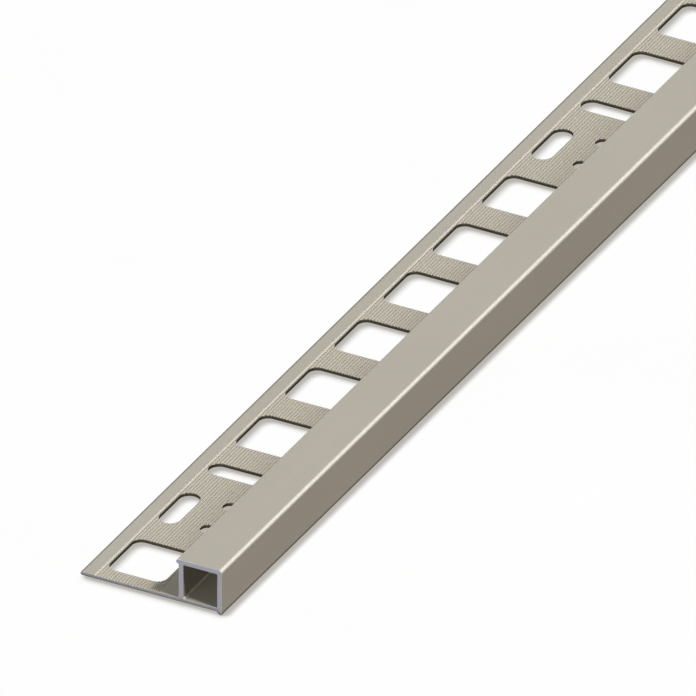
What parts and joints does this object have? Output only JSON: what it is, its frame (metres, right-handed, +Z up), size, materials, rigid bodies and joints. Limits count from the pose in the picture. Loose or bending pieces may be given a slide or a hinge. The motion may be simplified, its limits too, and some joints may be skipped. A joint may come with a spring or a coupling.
{
  "type": "tile edge trim",
  "caption": "Square-edge tile trim: hollow square aluminium head with a lip, on a thin ribbed anchoring leg punched with rounded windows and fixing slots; finishes the open edge of tiling.",
  "frame": {"origin": "middle of the length and of the width, at the tip of the foot under the front face", "axes": "+X along the stock, -Y out of the visible front face, +Z up from the leg to the top face"},
  "size_m": [1, 0.0308, 0.01],
  "materials": {
    "anodised_aluminium": "satin anodised in a warm titanium grey, bare at the sawn ends and punched edges"
  },
  "bodies": {
    "root": {"trim_profile": "anodised_aluminium"}
  },
  "joints": []
}
